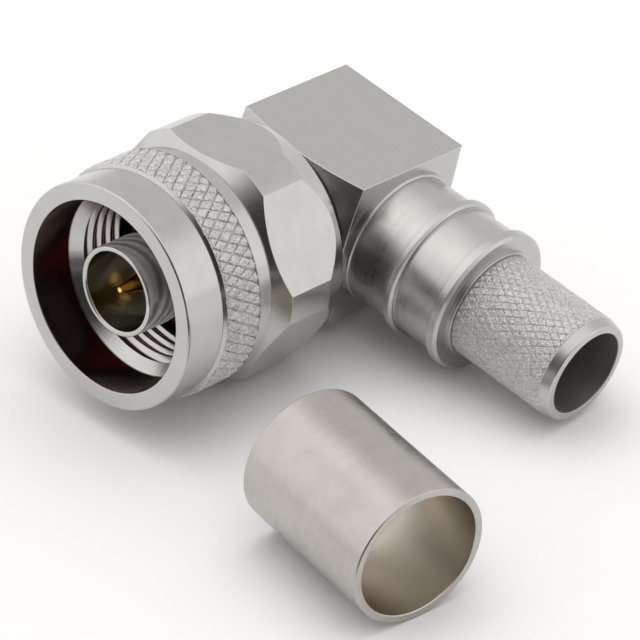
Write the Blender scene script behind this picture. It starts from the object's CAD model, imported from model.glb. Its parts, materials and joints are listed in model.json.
import json
import math
import bmesh
import bpy
from mathutils import Matrix, Vector


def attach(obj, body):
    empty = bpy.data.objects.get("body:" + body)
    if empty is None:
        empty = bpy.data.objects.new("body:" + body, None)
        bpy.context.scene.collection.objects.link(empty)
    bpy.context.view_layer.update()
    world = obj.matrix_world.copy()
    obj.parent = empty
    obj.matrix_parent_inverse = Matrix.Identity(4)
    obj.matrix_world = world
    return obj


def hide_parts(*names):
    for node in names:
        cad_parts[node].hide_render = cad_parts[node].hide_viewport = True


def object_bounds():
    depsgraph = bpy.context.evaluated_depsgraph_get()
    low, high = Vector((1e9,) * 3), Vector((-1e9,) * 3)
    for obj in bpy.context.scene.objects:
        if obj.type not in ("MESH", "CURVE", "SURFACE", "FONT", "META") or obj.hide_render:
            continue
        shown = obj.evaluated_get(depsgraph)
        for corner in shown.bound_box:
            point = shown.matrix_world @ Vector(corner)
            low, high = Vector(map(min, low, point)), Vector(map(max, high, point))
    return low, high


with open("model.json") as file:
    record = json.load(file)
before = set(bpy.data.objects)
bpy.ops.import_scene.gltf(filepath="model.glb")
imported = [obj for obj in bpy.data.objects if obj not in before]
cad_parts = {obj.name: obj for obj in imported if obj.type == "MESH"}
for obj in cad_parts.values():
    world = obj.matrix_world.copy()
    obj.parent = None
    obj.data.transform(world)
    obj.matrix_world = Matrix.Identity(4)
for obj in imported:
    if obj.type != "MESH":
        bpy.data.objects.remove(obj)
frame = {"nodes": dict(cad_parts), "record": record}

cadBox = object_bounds()
print("frame loaded:", len(frame["nodes"]), "nodes")

mm = 0.001

# The plug lies tilted, so its pieces are made along its own axes and then laid down:
# x out along the stem, y back along the mating axis, z out of the elbow's top face.
mounts = {m["name"]: m for m in frame["record"]["mounts"]}
backDir = -Vector(mounts["n_interface"]["axis"])
stemDir = Vector(mounts["ferrule_seat"]["axis"])
topDir = stemDir.cross(backDir)
layDown = Matrix((stemDir, backDir, topDir)).transposed().to_4x4()
elbowAt = (layDown.inverted() @ Vector(mounts["ferrule_seat"]["pos_m"])).y / mm
upDir = layDown.inverted() @ Vector((0, 0, 1))
noseTilt = math.atan2(backDir.z, backDir.y)  # how far the mating axis lies off level
stemDrop = math.atan2(-upDir.x, upDir.z)  # and the stem

# a turned form's own axes: its z is the turning axis, and its x is where its angles start
matingTurn = layDown @ Matrix(((1, 0, 0, 0), (0, 0, 1, 0), (0, -1, 0, 0), (0, 0, 0, 1)))
stemTurn = layDown @ Matrix.Translation((0, elbowAt * mm, 0)) @ Matrix.Rotation(math.pi / 2, 4, "Y")
ferruleAt = Vector(mounts["ferrule_bore"]["pos_m"])
ferruleDir = Vector(mounts["ferrule_bore"]["axis"])
ferruleTurn = Matrix.Translation(ferruleAt) @ ferruleDir.to_track_quat("Z", "Y").to_matrix().to_4x4()


# node trees

def newTree(name, kind, inputs, outputs):
    # an input is (label, kind of socket), and a value where it has one
    tree = bpy.data.node_groups.new(name, kind + "NodeTree")
    for label, socketKind, *value in inputs:
        socket = tree.interface.new_socket(label, in_out="INPUT", socket_type="NodeSocket" + socketKind)
        if value:
            socket.default_value = value[0]
    for label, socketKind in outputs:
        tree.interface.new_socket(label, in_out="OUTPUT", socket_type="NodeSocket" + socketKind)
    return tree, tree.nodes.new("NodeGroupInput"), tree.nodes.new("NodeGroupOutput")


def addNode(tree, kind, settings, inputs):
    # an input goes by its name, or by its number as i0, i1 and so on; it is a value or another node's output
    made = tree.nodes.new(kind)
    for label, value in (settings or {}).items():
        setattr(made, label, value)
    for label, value in inputs.items():
        numbered = label[0] == "i" and label[1:].isdigit()
        key = int(label[1:]) if numbered else label.replace("_", " ")
        if hasattr(value, "links"):
            tree.links.new(value, made.inputs[key])
        else:
            made.inputs[key].default_value = value
    return made


def shaderNode(tree, kind, settings=None, **inputs):
    return addNode(tree, "ShaderNode" + kind, settings, inputs)


def geometryNode(tree, kind, settings=None, **inputs):
    return addNode(tree, "GeometryNode" + kind, settings, inputs)


def doMath(tree, operation, *values):
    numbered = {f"i{i}": value for i, value in enumerate(values)}
    return shaderNode(tree, "Math", {"operation": operation}, **numbered).outputs[0]


def radiusOf(tree, first, second):
    # how far a point is from an axis, by its two places across that axis
    squares = [doMath(tree, "POWER", part, 2.0) for part in (first, second)]
    return doMath(tree, "SQRT", doMath(tree, "ADD", *squares))


# materials

def makeLatheMarks():
    # fine rings left by turning, uneven along the axis (local y of the vector) and across it
    tree, given, out = newTree(
        "latheMarks", "Shader",
        [("Vector", "Vector"), ("Rings per mm", "Float", 6.0), ("Unevenness", "Float", 0.3),
         ("Stains per m", "Float", 420.0)],
        [("Rings", "Float"), ("Stain", "Float"), ("Across", "Float")])
    parts = shaderNode(tree, "SeparateXYZ", Vector=given.outputs["Vector"])
    across = radiusOf(tree, parts.outputs[0], parts.outputs[2])
    density = doMath(tree, "DIVIDE", given.outputs["Rings per mm"], mm)
    ringPlace = shaderNode(tree, "CombineXYZ", X=doMath(tree, "MULTIPLY", across, density),
                           Y=doMath(tree, "MULTIPLY", parts.outputs[1], density))
    rings = shaderNode(tree, "TexNoise", {"noise_dimensions": "2D"}, Vector=ringPlace.outputs[0],
                       Scale=1.0, Detail=2.0)
    stain = shaderNode(tree, "TexNoise", Vector=given.outputs["Vector"], Scale=given.outputs["Stains per m"],
                       Detail=4.0, Roughness=0.6)
    mixed = doMath(tree, "MULTIPLY_ADD", doMath(tree, "SUBTRACT", stain.outputs[0], 0.5),
                   given.outputs["Unevenness"], rings.outputs[0])
    tree.links.new(mixed, out.inputs["Rings"])
    tree.links.new(stain.outputs[0], out.inputs["Stain"])
    tree.links.new(across, out.inputs["Across"])
    return tree


latheMarks = makeLatheMarks()
noiseRange = (0.3, 0.7)  # a noise texture seldom leaves it
markDepth = 0.02 * mm  # of the rings and streaks that a cutter leaves


def newMaterial(name, metallic=0.0):
    material = bpy.data.materials.new(name)
    material.use_nodes = True
    tree = material.node_tree
    shader = tree.nodes["Principled BSDF"]
    shader.inputs["Metallic"].default_value = metallic
    return material, tree, shader


def placeVector(tree, turn, centre=(0, 0, 0)):
    # object coordinates brought back to the piece's own axes
    coords = shaderNode(tree, "TexCoord").outputs["Object"]
    return shaderNode(tree, "Mapping", {"vector_type": "POINT"}, Vector=coords, Rotation=turn,
                      Location=centre).outputs[0]


def blendColour(tree, factor, low, high):
    ramp = shaderNode(tree, "ValToRGB", Fac=factor)
    for element, position, colour in zip(ramp.color_ramp.elements, noiseRange, (low, high)):
        element.position = position
        element.color = (*colour, 1)
    return ramp.outputs[0]


def spread(tree, value, low, high):
    lowest, highest = noiseRange
    return shaderNode(tree, "MapRange", i0=value, i1=lowest, i2=highest, i3=low, i4=high).outputs[0]


def feedShader(tree, shader, colour, roughness, height, bump, depth):
    raised = shaderNode(tree, "Bump", Strength=bump, Distance=depth, Height=height).outputs[0]
    for label, value in (("Base Color", colour), ("Roughness", roughness), ("Normal", raised)):
        tree.links.new(value, shader.inputs[label])


def turnedMetal(name, dark, light, turn, centre=(0, 0, 0), rough=(0.17, 0.21), rings=6.0, bump=0.008,
                bored=None):
    # bored: near this radius, from "inside" under it to "outside" over it, a bore was left darker or duller
    material, tree, shader = newMaterial(name, metallic=1.0)
    marks = shaderNode(tree, "Group", {"node_tree": latheMarks}, Vector=placeVector(tree, turn, centre),
                       Rings_per_mm=rings)
    colour = blendColour(tree, marks.outputs["Stain"], dark, light)
    roughness = spread(tree, marks.outputs["Rings"], *rough)
    if bored:
        lower = (bored["radius"] - bored["inside"]) * mm
        upper = (bored["radius"] + bored["outside"]) * mm
        inBore = doMath(tree, "MULTIPLY", doMath(tree, "GREATER_THAN", marks.outputs["Across"], lower),
                        doMath(tree, "LESS_THAN", marks.outputs["Across"], upper))
        roughness = doMath(tree, "MULTIPLY_ADD", inBore, bored["duller"], roughness)
        colour = shaderNode(tree, "Mix", {"data_type": "RGBA"}, i0=inBore, i6=colour,
                            i7=(*bored["colour"], 1)).outputs[2]
    feedShader(tree, shader, colour, roughness, marks.outputs["Rings"], bump, markDepth)
    return material


def knurledMetal(name, dark, light, turn, grit, depth, rough=(0.42, 0.2), pitShare=0.6, pitFineness=1.3,
                 bump=1.0):
    # torn and pitted by the knurling wheel, so duller and grainier than the turned faces
    material, tree, shader = newMaterial(name, metallic=1.0)
    vector = placeVector(tree, turn)
    grain = shaderNode(tree, "TexNoise", Vector=vector, Scale=grit / mm, Detail=3.0, Roughness=0.7).outputs[0]
    pits = shaderNode(tree, "TexVoronoi", {"feature": "DISTANCE_TO_EDGE"}, Vector=vector,
                      Scale=pitFineness * grit / mm)
    height = doMath(tree, "MULTIPLY_ADD", pits.outputs["Distance"], pitShare, grain)
    colour = blendColour(tree, grain, dark, light)
    feedShader(tree, shader, colour, spread(tree, grain, *rough), height, bump, depth * mm)
    return material


def milledMetal(name, dark, light, turn, rough=(0.2, 0.27), streaks=14.0, slowness=0.018, bump=0.05):
    # straight streaks along the piece's local x, so many a mm across it and far fewer along it
    material, tree, shader = newMaterial(name, metallic=1.0)
    across = streaks / mm
    streakPlace = shaderNode(tree, "Mapping", {"vector_type": "POINT"}, Vector=placeVector(tree, turn),
                             Scale=(across * slowness, across, across))
    grain = shaderNode(tree, "TexNoise", Vector=streakPlace.outputs[0], Scale=1.0, Detail=3.0,
                       Roughness=0.6).outputs[0]
    colour = blendColour(tree, grain, dark, light)
    feedShader(tree, shader, colour, spread(tree, grain, *rough), grain, bump, markDepth)
    return material


def softMaterial(name, dark, light, rough, spots, bump, depth=0.03):
    # moulded or cut plastic and rubber, mottled by so many spots a metre
    material, tree, shader = newMaterial(name)
    mottle = shaderNode(tree, "TexNoise", Vector=placeVector(tree, (0, 0, 0)), Scale=spots, Detail=5.0,
                        Roughness=0.6).outputs[0]
    colour = blendColour(tree, mottle, dark, light)
    feedShader(tree, shader, colour, spread(tree, mottle, *rough), mottle, bump, depth * mm)
    return material


# turns that bring the mating axis, or the stem's, onto y, where the rings and streaks expect it
toMating = (-noseTilt, -stemDrop, 0)
toStem = (-noseTilt, -stemDrop, math.pi / 2)
nickelDark = (0.505, 0.495, 0.48)
nickelLight = (0.55, 0.54, 0.525)
print("finishes ready")


# turned forms

# an arc's steps, the most of a side that it may take, and how much further out its guard points lie
rounding = {"steps": 4, "longest": 0.4, "guard": 1.2}
touching = 1e-6  # corners of one face this near, in mm, are one
merging = 1e-5  # and so are any corners of the mesh this near


def roundProfile(corners):
    # corners are (radius, station, rounding); a rounded corner becomes an arc with a guard point each side
    made = []
    for i, (r, s, size) in enumerate(corners):
        here = Vector((r, s))
        if size <= 0:
            made.append(here)
            continue
        before = Vector(corners[i - 1][:2]) - here
        after = Vector(corners[(i + 1) % len(corners)][:2]) - here
        half = before.angle(after) / 2
        longest = rounding["longest"] * min(before.length, after.length)
        reach = min(size / math.tan(half), longest)
        radius = reach * math.tan(half)
        first = before.normalized()
        second = after.normalized()
        centre = here + (first + second).normalized() * (radius / math.sin(half))
        start = here + first * reach - centre
        end = here + second * reach - centre
        sweep = math.copysign(math.pi - 2 * half, start.cross(end))
        made.append(here + first * reach * rounding["guard"])
        for k in range(rounding["steps"] + 1):
            angle = sweep * k / rounding["steps"]
            made.append(centre + Vector((
                start.x * math.cos(angle) - start.y * math.sin(angle),
                start.x * math.sin(angle) + start.y * math.cos(angle))))
        made.append(here + second * reach * rounding["guard"])
    return made


def latheMesh(name, angles, profileAt):
    # one closed profile for each angle, joined round the axis
    bm = bmesh.new()
    grid = []
    for angle in angles:
        ring = roundProfile(profileAt(angle))
        grid.append([bm.verts.new((p.x * math.cos(angle), p.x * math.sin(angle), p.y)) for p in ring])
    for i, ring in enumerate(grid):
        following = grid[(i + 1) % len(grid)]
        for j in range(len(ring)):
            k = (j + 1) % len(ring)
            corners = []
            for vert in (ring[j], following[j], following[k], ring[k]):
                if all((vert.co - other.co).length > touching for other in corners):
                    corners.append(vert)
            if len(corners) > 2:
                bm.faces.new(corners)
    bmesh.ops.remove_doubles(bm, verts=bm.verts, dist=merging)
    bmesh.ops.recalc_face_normals(bm, faces=bm.faces)
    mesh = bpy.data.meshes.new(name)
    bm.to_mesh(mesh)
    bm.free()
    return mesh


def roundMesh(name, columns, corners):
    # the same profile at every angle
    angles = [2 * math.pi * i / columns for i in range(columns)]
    return latheMesh(name, angles, lambda angle: corners)


sharpAngle = math.radians(27)  # an edge that turns by more stays crisp
shortest = 1e-7  # an edge shorter than this, in m, is taken out


def finishPiece(name, parts, body, replaced, material):
    # parts are (mesh in mm, placing matrix); they become one object whose place is in its mesh
    bm = bmesh.new()
    metals = [material]
    for mesh, place in parts:
        own = mesh.materials[0] if mesh.materials else material
        if own not in metals:
            metals.append(own)
        moved = mesh.copy()
        moved.transform(place @ Matrix.Scale(mm, 4))
        earlier = len(bm.faces)
        bm.from_mesh(moved)
        bm.faces.ensure_lookup_table()
        for face in bm.faces[earlier:]:
            face.material_index = metals.index(own)
        bpy.data.meshes.remove(moved)
    bmesh.ops.dissolve_degenerate(bm, dist=shortest, edges=bm.edges)
    mesh = bpy.data.meshes.new(name)
    bm.to_mesh(mesh)
    bm.free()
    for metal in metals:
        mesh.materials.append(metal)
    mesh.shade_smooth()
    mesh.set_sharp_from_angle(angle=sharpAngle)
    piece = bpy.data.objects.new(name, mesh)
    bpy.context.scene.collection.objects.link(piece)
    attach(piece, body)
    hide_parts(replaced)
    print("made", name, len(mesh.polygons), "faces")


def runTree(tree, values):
    # a tree on an empty host, turned into a plain mesh
    host = bpy.data.objects.new("host", bpy.data.meshes.new("host"))
    bpy.context.scene.collection.objects.link(host)
    modifier = host.modifiers.new("nodes", "NODES")
    modifier.node_group = tree
    for item in tree.interface.items_tree:
        if item.in_out == "INPUT" and item.name in values:
            modifier[item.identifier] = values[item.name]
    graph = bpy.context.evaluated_depsgraph_get()
    mesh = bpy.data.meshes.new_from_object(host.evaluated_get(graph))
    mesh.materials.clear()
    mesh.materials.append(values["Metal"])
    bpy.data.objects.remove(host)
    return mesh


# knurl: one diamond, repeated round and along a band

def diamondMesh(name, knurl):
    # rings of four from the groove up: its bottom, the diamond's soft shoulder and the flat on top
    wide = math.pi / knurl["around"]
    tall = knurl["cell"] / 2
    shoulderR = knurl["baseR"] + knurl["shoulderUp"] * (knurl["topR"] - knurl["baseR"])
    levels = ((1, knurl["baseR"]), (knurl["shoulder"], shoulderR), (knurl["plateau"], knurl["topR"]))
    verts = []
    for size, radius in levels:
        for turn, station in ((-wide, 0), (0, -tall), (wide, 0), (0, tall)):
            verts.append((radius * math.cos(turn * size), radius * math.sin(turn * size), station * size))
    faces = [(8, 9, 10, 11)]
    for ring in (0, 4):
        faces += [(ring + k, ring + (k + 1) % 4, ring + 4 + (k + 1) % 4, ring + 4 + k) for k in range(4)]
    mesh = bpy.data.meshes.new(name)
    mesh.from_pydata(verts, [], faces)
    return mesh


def makeKnurlTree():
    tree, given, out = newTree(
        "knurlRows", "Geometry",
        [("Geometry", "Geometry"), ("Diamond", "Object"), ("Around", "Int"), ("Rows", "Int"),
         ("Start", "Float"), ("End", "Float"), ("Row step", "Float"), ("Base radius", "Float"),
         ("Depth", "Float"), ("Chamfer", "Float"), ("Wear", "Float"), ("Wear size", "Float"),
         ("Metal", "Material")],
        [("Geometry", "Geometry")])
    sizes = given.outputs

    def calc(operation, *values):
        return doMath(tree, operation, *values)

    # one point for each diamond, and every other row stands half a diamond round
    line = geometryNode(tree, "MeshLine", Count=calc("MULTIPLY", sizes["Around"], sizes["Rows"]))
    index = geometryNode(tree, "InputIndex").outputs[0]
    row = calc("FLOOR", calc("DIVIDE", calc("ADD", index, 0.5), sizes["Around"]))
    column = calc("MODULO", index, sizes["Around"])
    shift = calc("MULTIPLY", calc("MODULO", row, 2.0), 0.5)
    angle = calc("MULTIPLY", calc("DIVIDE", calc("ADD", column, shift), sizes["Around"]), 2 * math.pi)
    station = calc("ADD", sizes["Start"], calc("MULTIPLY", row, sizes["Row step"]))
    place = shaderNode(tree, "CombineXYZ", Z=station)
    turn = shaderNode(tree, "CombineXYZ", Z=angle)
    points = geometryNode(tree, "SetPosition", Geometry=line.outputs[0], Position=place.outputs[0])
    diamond = geometryNode(tree, "ObjectInfo", Object=sizes["Diamond"])
    diamonds = geometryNode(tree, "InstanceOnPoints", Points=points.outputs[0],
                            Instance=diamond.outputs["Geometry"], Rotation=turn.outputs[0])
    solid = geometryNode(tree, "RealizeInstances", Geometry=diamonds.outputs[0])

    # each corner is pushed a little out of place, as a worn wheel leaves it
    position = geometryNode(tree, "InputPosition").outputs[0]
    ragged = shaderNode(tree, "TexNoise", Vector=position, Scale=calc("DIVIDE", 1.0, sizes["Wear size"]))
    centred = shaderNode(tree, "VectorMath", {"operation": "SUBTRACT"}, i0=ragged.outputs["Color"],
                         i1=(0.5, 0.5, 0.5))
    pushed = shaderNode(tree, "VectorMath", {"operation": "SCALE"}, i0=centred.outputs[0],
                        Scale=sizes["Wear"])
    worn = geometryNode(tree, "SetPosition", Geometry=solid.outputs[0], Offset=pushed.outputs[0])

    # the band's two ends are turned off at a slant, through whichever diamonds lie there
    here = shaderNode(tree, "SeparateXYZ", Vector=position).outputs
    height = calc("DIVIDE", calc("SUBTRACT", radiusOf(tree, here[0], here[1]), sizes["Base radius"]),
                  sizes["Depth"])
    slant = calc("MULTIPLY", sizes["Chamfer"], height)
    pastStart = calc("MAXIMUM", here[2], calc("ADD", sizes["Start"], slant))
    withinEnd = calc("MINIMUM", pastStart, calc("SUBTRACT", sizes["End"], slant))
    cut = shaderNode(tree, "CombineXYZ", X=here[0], Y=here[1], Z=withinEnd)
    band = geometryNode(tree, "SetPosition", Geometry=worn.outputs[0], Position=cut.outputs[0])
    painted = geometryNode(tree, "SetMaterial", Geometry=band.outputs[0], Material=sizes["Metal"])
    tree.links.new(painted.outputs[0], out.inputs[0])
    return tree


knurlTree = makeKnurlTree()


def knurlMesh(name, knurl, start, end, material):
    shape = bpy.data.objects.new(name, diamondMesh(name, knurl))
    bpy.context.scene.collection.objects.link(shape)
    rowStep = knurl["cell"] / 2
    rows = math.floor((end - start) / rowStep) + 2
    mesh = runTree(knurlTree, {
        "Diamond": shape, "Around": knurl["around"], "Rows": rows, "Start": start, "End": end,
        "Row step": rowStep, "Base radius": knurl["baseR"], "Depth": knurl["topR"] - knurl["baseR"],
        "Chamfer": knurl["chamfer"], "Wear": knurl["wear"], "Wear size": knurl["wearSize"],
        "Metal": material})
    bpy.data.objects.remove(shape)
    return mesh


# coupling nut

nut = {
    "mouth": -1.4, "rear": 17.1, "mouthR": 8.45, "collarR": 10.0, "collarEnd": 2.6, "neckR": 9.86,
    "chamferR": 9.93, "chamferAt": 2.66, "knurlFront": 2.88, "knurlRear": 6.8, "knurlStep": 0.02,
    "stripR": 10.1, "stripRear": 8.2, "hexNeckR": 9.6, "hexFront": 9.6, "hexRear": 14.2, "cornerR": 11.2,
    "halfFlats": 10.3, "rearR": 9.9, "boreR": 6.25, "grooveR": 7.25, "grooveFront": 13.4, "grooveRear": 14.8,
    "reliefR": 8.1, "reliefFront": 9.4, "reliefRear": 12.2, "threadR": 7.93, "counterbore": 2.7,
    "minorR": 7.42, "minorAt": 3.6, "threadFrom": 3.8,
    "edges": {"mouthIn": 0.08, "mouthOut": 0.18, "collarRear": 0.16, "neck": 0.02, "knurlFront": 0.03,
              "knurlRear": 0.02, "strip": 0.06, "hexNeck": 0.03, "hexFront": 0.05, "hexRear": 0.06,
              "rearOut": 0.12, "rearIn": 0.08, "bore": 0.05, "relief": 0.1, "thread": 0.03, "minor": 0.05,
              "counterbore": 0.05},
    "columns": {"acrossFlat": 16, "acrossCorner": 6, "crisp": math.radians(0.25)},
    "knurl": {"baseR": 10.22, "topR": 10.4, "around": 63, "cell": 1.77, "chamfer": 0.2, "plateau": 0.56,
              "shoulder": 0.82, "shoulderUp": 0.75, "wear": 0.2, "wearSize": 0.45},
}
nutNickel = turnedMetal(
    "nutNickel", nickelDark, nickelLight, toMating,
    bored={"radius": nut["mouthR"], "inside": 0.07, "outside": 0.03, "duller": 0.0,
           "colour": (0.26, 0.21, 0.19)})
nutKnurled = knurledMetal("nutKnurled", dark=(0.48, 0.47, 0.455), light=(0.9, 0.89, 0.87), turn=toMating,
                          grit=4.5, depth=0.15)

# one flat faces straight down, as the nut lies; the turning frame's angle 0 is the stem's side
flatTurn = math.pi / 6 - stemDrop


def nutProfile(angle):
    # the flat's reach at this angle, or the turned corner's
    n, e = nut, nut["edges"]
    knurlBaseR = n["knurl"]["baseR"]
    offFlat = (angle - flatTurn + math.pi / 6) % (math.pi / 3) - math.pi / 6
    reach = min(n["halfFlats"] / math.cos(offFlat), n["cornerR"])
    frontShare = (reach - n["hexNeckR"]) / (n["cornerR"] - n["hexNeckR"])
    rearShare = (n["cornerR"] - reach) / (n["cornerR"] - n["rearR"])
    front = n["stripRear"] + frontShare * (n["hexFront"] - n["stripRear"])
    rear = n["hexRear"] + rearShare * (n["rear"] - n["hexRear"])
    return [
        (n["mouthR"], n["mouth"], e["mouthIn"]), (n["collarR"], n["mouth"], e["mouthOut"]),
        (n["collarR"], n["collarEnd"], e["collarRear"]), (n["neckR"], n["collarEnd"], e["neck"]),
        (n["neckR"], n["chamferAt"], e["neck"]), (n["chamferR"], n["chamferAt"], e["knurlFront"]),
        (knurlBaseR, n["knurlFront"], 0), (knurlBaseR, n["knurlRear"] - n["knurlStep"], 0),
        (n["stripR"], n["knurlRear"], e["knurlRear"]), (n["stripR"], n["stripRear"], e["strip"]),
        (n["hexNeckR"], n["stripRear"], e["hexNeck"]), (reach, front, e["hexFront"]),
        (reach, rear, e["hexRear"]), (n["rearR"], n["rear"], e["rearOut"]),
        (n["boreR"], n["rear"], e["rearIn"]), (n["boreR"], n["grooveRear"], 0),
        (n["grooveR"], n["grooveRear"], 0), (n["grooveR"], n["grooveFront"], 0),
        (n["boreR"], n["grooveFront"], 0), (n["boreR"], n["reliefRear"], e["bore"]),
        (n["reliefR"], n["reliefRear"], e["relief"]), (n["reliefR"], n["reliefFront"], 0),
        (n["threadR"], n["reliefFront"], 0), (n["threadR"], n["threadFrom"], e["thread"]),
        (n["minorR"], n["minorAt"], e["minor"]), (n["mouthR"], n["counterbore"], e["counterbore"]),
    ]


def nutAngles():
    # columns crowd at each edge of a flat, so that the edge is crisp
    halfFlat = math.acos(nut["halfFlats"] / nut["cornerR"])
    corner = math.pi / 3 - 2 * halfFlat
    steps, cornerSteps = nut["columns"]["acrossFlat"], nut["columns"]["acrossCorner"]
    crisp = nut["columns"]["crisp"]
    onFlat = [halfFlat * (2 * k / steps - 1) for k in range(steps + 1)]
    onCorner = [halfFlat + corner * k / cornerSteps for k in range(1, cornerSteps)]
    edges = [-halfFlat - crisp, -halfFlat + crisp, halfFlat - crisp, halfFlat + crisp]
    angles = []
    for side in range(6):
        angles += [side * math.pi / 3 + flatTurn + a for a in sorted(onFlat + onCorner + edges)]
    return angles


# a 60 degree ridge with a flat crest, carried round inside the nut by a helix and sunk a little into its
# wall; "up" is towards the axis, and a half width is measured from the ridge's middle
thread = {
    "pitch": 25.4 / 24, "turns": 4.3, "start": 4.07, "stepsPerTurn": 72, "sunk": 0.06, "rootHalf": 0.47,
    "easedUp": 0.49, "easedHalf": 0.17, "crestUp": 0.53, "crestHalf": 0.11,
}


def makeThreadTree():
    tree, given, out = newTree(
        "threadTurns", "Geometry",
        [("Geometry", "Geometry"), ("Turns", "Float"), ("Pitch", "Float"), ("Steps", "Int"),
         ("Root radius", "Float"), ("Start", "Float"), ("Ridge", "Object"), ("Metal", "Material")],
        [("Geometry", "Geometry")])
    sizes = given.outputs
    spiral = geometryNode(tree, "CurveSpiral", Resolution=sizes["Steps"], Rotations=sizes["Turns"],
                          Start_Radius=sizes["Root radius"], End_Radius=sizes["Root radius"],
                          Height=doMath(tree, "MULTIPLY", sizes["Turns"], sizes["Pitch"]))
    upright = geometryNode(tree, "SetCurveNormal", {"mode": "Z_UP"}, Curve=spiral.outputs[0])
    ridge = geometryNode(tree, "ObjectInfo", Object=sizes["Ridge"])
    sweep = geometryNode(tree, "CurveToMesh", Curve=upright.outputs[0],
                         Profile_Curve=ridge.outputs["Geometry"], Fill_Caps=True)
    shift = shaderNode(tree, "CombineXYZ", Z=sizes["Start"])
    moved = geometryNode(tree, "Transform", Geometry=sweep.outputs[0], Translation=shift.outputs[0])
    solid = geometryNode(tree, "RealizeInstances", Geometry=moved.outputs[0])
    painted = geometryNode(tree, "SetMaterial", Geometry=solid.outputs[0], Material=sizes["Metal"])
    tree.links.new(painted.outputs[0], out.inputs[0])
    return tree


def threadMesh(material):
    t = thread
    flank = [(-t["sunk"], t["rootHalf"]), (0.0, t["rootHalf"]), (t["easedUp"], t["easedHalf"]),
             (t["crestUp"], t["crestHalf"])]
    outline = [(up, -half) for up, half in flank] + flank[::-1]
    curve = bpy.data.curves.new("ridge", "CURVE")
    spline = curve.splines.new("POLY")
    spline.points.add(len(outline) - 1)
    for point, (up, along) in zip(spline.points, outline):
        point.co = (up, along, 0, 1)
    spline.use_cyclic_u = True
    ridge = bpy.data.objects.new("ridge", curve)
    bpy.context.scene.collection.objects.link(ridge)
    mesh = runTree(makeThreadTree(), {
        "Turns": t["turns"], "Pitch": t["pitch"], "Steps": t["stepsPerTurn"], "Root radius": nut["threadR"],
        "Start": t["start"], "Ridge": ridge, "Metal": material})
    bpy.data.objects.remove(ridge)
    return mesh


nutParts = [
    (latheMesh("nutBody", nutAngles(), nutProfile), matingTurn),
    (knurlMesh("nutKnurl", nut["knurl"], nut["knurlFront"], nut["knurlRear"], nutKnurled), matingTurn),
    (threadMesh(nutNickel), matingTurn),
]
finishPiece("couplingNut", nutParts, "nut", "coupling_nut", nutNickel)


# outer contact, whose journal carries the nut

contact = {
    "outR": 4.0, "inR": 3.5, "sleeve": 9.2, "flangeR": 6.9, "flangeRear": 11.6, "journalR": 6.2,
    "grooveR": 5.5, "grooveFront": 13.55, "grooveRear": 14.65, "bossFront": 17.3, "bossR": 7.0,
    "blockFace": 19.7, "spigotR": 5.4, "rear": 21.7, "beadR": 4.2, "beadFront": 9.8, "columns": 128,
    "edges": {"rimIn": 0.22, "rimOut": 0.12, "sleeve": 0.06, "flange": 0.1, "journal": 0.05, "boss": 0.2},
}
contactNickel = turnedMetal(
    "contactNickel", nickelDark, nickelLight, toMating, rough=(0.15, 0.19),
    bored={"radius": contact["inR"], "inside": contact["inR"], "outside": 0.06, "duller": 0.0,
           "colour": (0.44, 0.42, 0.36)})


def contactProfile():
    c, e = contact, contact["edges"]
    return [
        (c["inR"], 0, e["rimIn"]), (c["outR"], 0, e["rimOut"]), (c["outR"], c["sleeve"], e["sleeve"]),
        (c["flangeR"], c["sleeve"], e["flange"]), (c["flangeR"], c["flangeRear"], e["flange"]),
        (c["journalR"], c["flangeRear"], e["journal"]), (c["journalR"], c["grooveFront"], 0),
        (c["grooveR"], c["grooveFront"], 0), (c["grooveR"], c["grooveRear"], 0),
        (c["journalR"], c["grooveRear"], 0), (c["journalR"], c["bossFront"], e["journal"]),
        (c["bossR"], c["bossFront"], e["boss"]), (c["bossR"], c["blockFace"], 0),
        (c["spigotR"], c["blockFace"], 0), (c["spigotR"], c["rear"], 0), (c["beadR"], c["rear"], 0),
        (c["beadR"], c["beadFront"], 0), (c["inR"], c["beadFront"], 0),
    ]


contactMesh = roundMesh("outerContact", contact["columns"], contactProfile())
finishPiece("outerContact", [(contactMesh, matingTurn)],
            "body", "outer_contact", contactNickel)


# gasket on the sleeve, against the flange

gasket = {"front": 7.9, "outR": 6.3, "columns": 96, "innerEdge": 0.35, "outerEdge": 0.4}
redSilicone = softMaterial("redSilicone", dark=(0.30, 0.02, 0.015), light=(0.42, 0.035, 0.02),
                           rough=(0.45, 0.6), spots=900, bump=0.2)
gasketMesh = roundMesh("gasketRing", gasket["columns"], [
    (contact["outR"], gasket["front"], gasket["innerEdge"]),
    (gasket["outR"], gasket["front"], gasket["outerEdge"]),
    (gasket["outR"], contact["sleeve"], gasket["outerEdge"]),
    (contact["outR"], contact["sleeve"], gasket["innerEdge"]),
])
finishPiece("gasketRing", [(gasketMesh, matingTurn)], "body", "gasket", redSilicone)


# elbow block, square but for its turned front, with the stem's round boss on one side

block = {
    "half": 7.15, "front": contact["blockFace"], "rear": 33.5, "turnedR": 6.2, "turnedSlope": 0.3,
    "boreR": contact["spigotR"], "boreRear": contact["rear"], "cavityR": contact["beadR"], "capR": 4.5,
    "capSeat": 32.0, "bossR": 6.4, "bossFace": 7.65, "bossInnerR": 5.0, "bossSunk": 0.5,
    "edges": {"long": 0.12, "upright": 0.4, "front": 0.1, "turned": 0.05, "capHole": 0.06, "boss": 0.2,
              "bossHole": 0.05},
    "columns": {"halfSide": 10, "halfCorner": 4, "crisp": 0.003, "boss": 128},
}
blockNickel = milledMetal("blockNickel", nickelDark, nickelLight, toMating)


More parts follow.
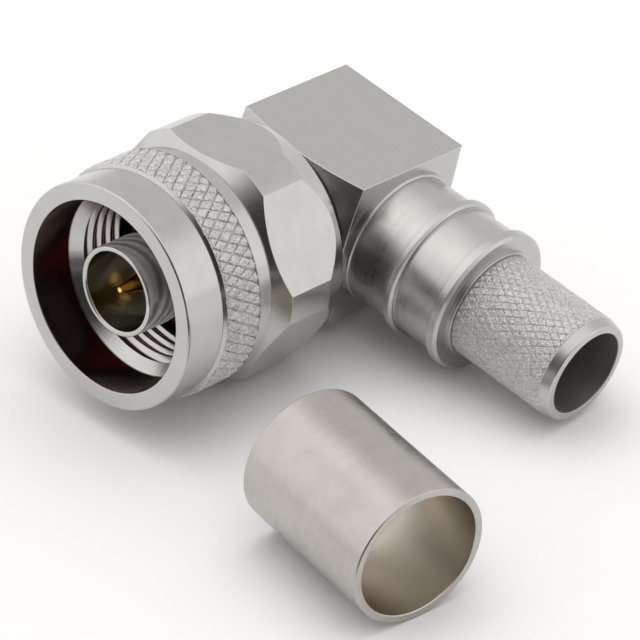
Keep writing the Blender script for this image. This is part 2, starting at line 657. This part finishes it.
def squareReach(angle):
    # distance from the axis to the square's side, with its corners rounded
    half, radius = block["half"], block["edges"]["long"]
    larger, smaller = sorted((abs(math.cos(angle)), abs(math.sin(angle))), reverse=True)
    reach = half / larger
    if reach * smaller > half - radius:
        inner = half - radius
        along = inner * (larger + smaller)
        reach = along + math.sqrt(max(along * along - 2 * inner * inner + radius * radius, 0))
    return reach


def blockAngles():
    # columns crowd round each corner of the square
    columns = block["columns"]
    flatEnd = math.atan2(block["half"] - block["edges"]["long"], block["half"])
    cornerStart = flatEnd + columns["crisp"]
    sides = [flatEnd * k / columns["halfSide"] for k in range(-columns["halfSide"], columns["halfSide"] + 1)]
    cornerStep = (math.pi / 4 - cornerStart) / columns["halfCorner"]
    corner = [cornerStart + cornerStep * k for k in range(columns["halfCorner"] + 1)]
    mirrored = [-a for a in corner[:-1]]
    angles = []
    for side in range(4):
        angles += [side * math.pi / 2 + a for a in sorted(sides + corner + mirrored)]
    return angles


def blockProfile(angle):
    b, e = block, block["edges"]
    reach = squareReach(angle)
    sideways = abs(math.cos(angle)) > abs(math.sin(angle))
    return [
        (b["boreR"], b["front"], 0), (b["turnedR"], b["front"], e["turned"]),
        (reach, b["front"] + (reach - b["turnedR"]) * b["turnedSlope"], e["front"]),
        (reach, b["rear"], e["upright"] if sideways else e["long"]), (b["capR"], b["rear"], e["capHole"]),
        (b["capR"], b["capSeat"], 0), (b["cavityR"], b["capSeat"], 0), (b["cavityR"], b["boreRear"], 0),
        (b["boreR"], b["boreRear"], 0),
    ]


bossRoot = block["half"] - block["bossSunk"]
bossMesh = roundMesh("blockBoss", block["columns"]["boss"], [
    (block["bossInnerR"], block["bossFace"], block["edges"]["bossHole"]),
    (block["bossR"], block["bossFace"], block["edges"]["boss"]),
    (block["bossR"], bossRoot, 0), (block["bossInnerR"], bossRoot, 0),
])
blockMesh = latheMesh("blockBody", blockAngles(), blockProfile)
finishPiece("elbowBlock", [(blockMesh, matingTurn), (bossMesh, stemTurn)],
            "body", "elbow_block", blockNickel)


# crimp stem; a slant is how far it goes down and how far along

stem = {
    "inner": 4.3, "spigotR": 4.8, "barrelR": 6.15, "ridgeR": 6.65, "ridgeAt": 12.2, "ridgeEnd": 13.0,
    "ridgeSlant": (0.25, 0.2), "stopR": 6.65, "stopAt": 17.2, "stopEnd": 18.3, "stopSlant": (0.25, 0.25),
    "collarR": 5.18, "collarEnd": 18.6, "knurlEnd": 28.6, "knurlStep": 0.02, "lipR": 4.6, "end": 29.6,
    "boreR": 3.92, "beadR": 3.7, "beadEnd": 7.4, "beadStart": 4.9, "stopBoreR": 3.4, "columns": 128,
    "edges": {"barrel": 0.02, "foot": 0.05, "ridge": 0.06, "stop": 0.08, "crown": 0.1, "slant": 0.08,
              "collarFoot": 0.03, "collar": 0.08, "knurlEnd": 0.05, "lipOut": 0.25, "lipIn": 0.1},
    "knurl": {"baseR": 4.83, "topR": 4.9, "around": 42, "cell": 1.19, "chamfer": 0.1, "plateau": 0.58,
              "shoulder": 0.82, "shoulderUp": 0.75, "wear": 0.1, "wearSize": 0.3},
}
stemNickel = turnedMetal(
    "stemNickel", nickelDark, nickelLight, toStem, centre=(elbowAt * mm, 0, 0), rough=(0.26, 0.33), rings=4.0,
    bored={"radius": stem["boreR"], "inside": stem["boreR"], "outside": 0.08, "duller": 0.2,
           "colour": (0.45, 0.42, 0.4)})
stemKnurled = knurledMetal("stemKnurled", dark=(0.44, 0.43, 0.42), light=(0.86, 0.85, 0.84), turn=toStem,
                           grit=5.0, depth=0.11)


def stemProfile():
    t, e = stem, stem["edges"]
    ridgeDown, ridgeAlong = t["ridgeSlant"]
    stopDown, stopAlong = t["stopSlant"]
    knurlBaseR, knurlTopR = t["knurl"]["baseR"], t["knurl"]["topR"]
    return [
        (t["stopBoreR"], t["inner"], 0), (t["spigotR"], t["inner"], 0), (t["spigotR"], block["bossFace"], 0),
        (t["barrelR"], block["bossFace"], e["barrel"]), (t["barrelR"], t["ridgeAt"], e["foot"]),
        (t["ridgeR"], t["ridgeAt"], e["ridge"]), (t["ridgeR"], t["ridgeEnd"] - ridgeAlong, e["crown"]),
        (t["ridgeR"] - ridgeDown, t["ridgeEnd"], e["slant"]), (t["barrelR"], t["ridgeEnd"], e["foot"]),
        (t["barrelR"], t["stopAt"], e["foot"]), (t["stopR"], t["stopAt"], e["stop"]),
        (t["stopR"], t["stopEnd"] - stopAlong, e["crown"]), (t["stopR"] - stopDown, t["stopEnd"], e["slant"]),
        (t["collarR"], t["stopEnd"], e["collarFoot"]), (t["collarR"], t["collarEnd"], e["collar"]),
        (knurlBaseR, t["collarEnd"], 0), (knurlBaseR, t["knurlEnd"] - t["knurlStep"], 0),
        (knurlTopR - t["knurlStep"], t["knurlEnd"], e["knurlEnd"]), (t["lipR"], t["end"], e["lipOut"]),
        (t["boreR"], t["end"], e["lipIn"]), (t["boreR"], t["beadEnd"], 0), (t["beadR"], t["beadEnd"], 0),
        (t["beadR"], t["beadStart"], 0), (t["stopBoreR"], t["beadStart"], 0),
    ]


stemParts = [
    (roundMesh("stemBody", stem["columns"], stemProfile()), stemTurn),
    (knurlMesh("stemKnurl", stem["knurl"], stem["collarEnd"], stem["knurlEnd"], stemKnurled), stemTurn),
]
finishPiece("crimpStem", stemParts, "body", "crimp_stem", stemNickel)


# crimp ferrule

ferrule = {"outR": 6.25, "inR": 5.55, "half": 7.8, "edge": 0.15, "columns": 144}
# it lies level, so one turn about z brings its axis onto y
ferruleSwing = math.pi / 2 - math.atan2(ferruleDir.y, ferruleDir.x)
ferruleNickel = turnedMetal(
    "ferruleNickel", dark=(0.455, 0.43, 0.405), light=(0.515, 0.49, 0.465), turn=(0, 0, ferruleSwing),
    centre=-(Matrix.Rotation(ferruleSwing, 3, "Z") @ ferruleAt), rough=(0.24, 0.3), rings=1.5, bump=0.01,
    bored={"radius": ferrule["inR"], "inside": ferrule["inR"], "outside": 0.05, "duller": 0.04,
           "colour": (0.57, 0.525, 0.46)})
ferruleMesh = roundMesh("crimpFerrule", ferrule["columns"], [
    (radius, station, ferrule["edge"]) for radius, station in (
        (ferrule["inR"], -ferrule["half"]), (ferrule["outR"], -ferrule["half"]),
        (ferrule["outR"], ferrule["half"]), (ferrule["inR"], ferrule["half"]))
])
finishPiece("crimpFerrule", [(ferruleMesh, ferruleTurn)],
            "body", "crimp_ferrule", ferruleNickel)


# solids that keep their own shape

ringSteel = turnedMetal("ringSteel", dark=(0.4, 0.4, 0.4), light=(0.5, 0.5, 0.5), turn=toMating)
pinGold = turnedMetal("pinGold", dark=(0.85, 0.58, 0.20), light=(0.95, 0.68, 0.28), turn=toMating,
                      rough=(0.1, 0.2))
capNickel = turnedMetal("capNickel", nickelDark, nickelLight, toMating)
whitePtfe = softMaterial("whitePtfe", dark=(0.78, 0.77, 0.74), light=(0.86, 0.85, 0.82), rough=(0.4, 0.55),
                         spots=700, bump=0.15)
keptSolids = {
    "retaining_ring": ringSteel, "center_pin": pinGold, "front_insulator": whitePtfe,
    "rear_insulator": whitePtfe, "cable_insulator": whitePtfe, "access_cap": capNickel,
}
for nodeName, material in keptSolids.items():
    dressed = frame["nodes"][nodeName].data.materials
    dressed.clear()
    dressed.append(material)
print("kept solids dressed")


# floor and the cloth on it

floor = {"half": 2.0, "colour": (0.86, 0.86, 0.86), "roughness": 0.9, "shine": 0.1}
floorAt = cadBox[0][2]


def flatSheet(name, centre, half, height, material):
    x, y = centre
    corners = [(x - half, y - half, height), (x + half, y - half, height),
               (x + half, y + half, height), (x - half, y + half, height)]
    mesh = bpy.data.meshes.new(name)
    mesh.from_pydata(corners, [], [(0, 1, 2, 3)])
    mesh.materials.append(material)
    sheet = bpy.data.objects.new(name, mesh)
    bpy.context.scene.collection.objects.link(sheet)
    return sheet


paleFloor, _, floorShader = newMaterial("paleFloor")
floorShader.inputs["Base Color"].default_value = (*floor["colour"], 1)
floorShader.inputs["Roughness"].default_value = floor["roughness"]
floorShader.inputs["Specular IOR Level"].default_value = floor["shine"]
flatSheet("floor", (0, 0), floor["half"], floorAt, paleFloor)

# a black cloth lies on the floor towards the camera, where only reflections see it; it is black out to one
# radius, and has faded away at the next
shade = {"centre": (0.117, -0.22), "black": 0.195, "clear": 0.222, "raised": 0.02 * mm,
         "colour": (0.02, 0.02, 0.02), "roughness": 0.9}
clothAt = floorAt + shade["raised"]
blackCloth, clothTree, clothShader = newMaterial("blackCloth")
clothShader.inputs["Base Color"].default_value = (*shade["colour"], 1)
clothShader.inputs["Roughness"].default_value = shade["roughness"]
clothPlace = shaderNode(clothTree, "TexCoord").outputs["Object"]
away = shaderNode(clothTree, "VectorMath", {"operation": "DISTANCE"}, i0=clothPlace,
                  i1=(*shade["centre"], clothAt)).outputs["Value"]
fade = shaderNode(clothTree, "MapRange", {"interpolation_type": "SMOOTHSTEP"}, i0=away, i1=shade["black"],
                  i2=shade["clear"], i3=1.0, i4=0.0).outputs[0]
clothTree.links.new(fade, clothShader.inputs["Alpha"])
cloth = flatSheet("shadeCloth", shade["centre"], shade["clear"], clothAt, blackCloth)
cloth.visible_camera = False
cloth.visible_diffuse = False
cloth.visible_shadow = False


# light

def heading(azimuth, elevation):
    # azimuth 0 is towards the nut's mouth, 90 towards the stem's open end
    a, e = math.radians(azimuth), math.radians(elevation)
    return Vector((math.sin(a) * math.cos(e), -math.cos(a) * math.cos(e), math.sin(e)))


# a tent of soft cards round the part: in degrees, where each stands and how far from its middle it begins to
# fade and has gone, and what it adds to the tent's glow
tent = {"glow": 0.82, "tint": (1.0, 0.99, 0.975)}
cards = {
    "left": {"azimuth": 298, "elevation": 30, "inner": 26, "outer": 54, "adds": 0.4},
    "right": {"azimuth": 126, "elevation": 20, "inner": 10, "outer": 40, "adds": 0.38},
    "above": {"azimuth": 0, "elevation": 90, "inner": 24, "outer": 46, "adds": 0.38},
    "darkFront": {"azimuth": 24, "elevation": 10, "inner": 26, "outer": 50, "adds": -0.77},
}
world = bpy.data.worlds.new("studio")
bpy.context.scene.world = world
world.use_nodes = True
worldTree = world.node_tree
lookingTo = shaderNode(worldTree, "TexCoord").outputs["Generated"]
glow = tent["glow"]
for card in cards.values():
    facing = shaderNode(worldTree, "VectorMath", {"operation": "DOT_PRODUCT"}, i0=lookingTo,
                        i1=heading(card["azimuth"], card["elevation"])).outputs["Value"]
    share = shaderNode(worldTree, "MapRange", {"interpolation_type": "SMOOTHSTEP"}, i0=facing,
                       i1=math.cos(math.radians(card["outer"])),
                       i2=math.cos(math.radians(card["inner"]))).outputs[0]
    glow = doMath(worldTree, "MULTIPLY_ADD", share, card["adds"], glow)
backdrop = worldTree.nodes["Background"]
backdrop.inputs["Color"].default_value = (*tent["tint"], 1)
worldTree.links.new(glow, backdrop.inputs["Strength"])

lamp = {"at": (0.0, 0.06, 0.4), "aim": (0.012, 0.011, -0.002), "size": 0.35, "watts": 0.45}
overhead = bpy.data.lights.new("overhead", "AREA")
overhead.shape = "SQUARE"
overhead.size = lamp["size"]
overhead.energy = lamp["watts"]
lampStand = bpy.data.objects.new("overhead", overhead)
lampStand.location = lamp["at"]
lampStand.rotation_euler = (Vector(lamp["aim"]) - Vector(lamp["at"])).to_track_quat("-Z", "Y").to_euler()
lampStand.visible_glossy = False
bpy.context.scene.collection.objects.link(lampStand)


# camera

view = {
    "azimuth": 43.51, "elevation": 37.03, "roll": 0.57, "distance": 0.368, "lens": 248.74, "sensor": 36,
    "clipStart": 0.01, "aim": (0.01256, 0.011455, -0.00244),
}
outward = heading(view["azimuth"], view["elevation"])
roll = Matrix.Rotation(math.radians(view["roll"]), 3, "Z")
turned = (-outward).to_track_quat("-Z", "Y").to_matrix() @ roll
camera = bpy.data.objects.new("camera", bpy.data.cameras.new("camera"))
camera.matrix_world = Matrix.Translation(Vector(view["aim"]) + outward * view["distance"]) @ turned.to_4x4()
camera.data.lens = view["lens"]
camera.data.sensor_width = view["sensor"]
camera.data.clip_start = view["clipStart"]
bpy.context.scene.collection.objects.link(camera)
bpy.context.scene.camera = camera
bpy.context.scene.view_settings.view_transform = "Standard"
print("stage set")

bpy.context.view_layer.update()
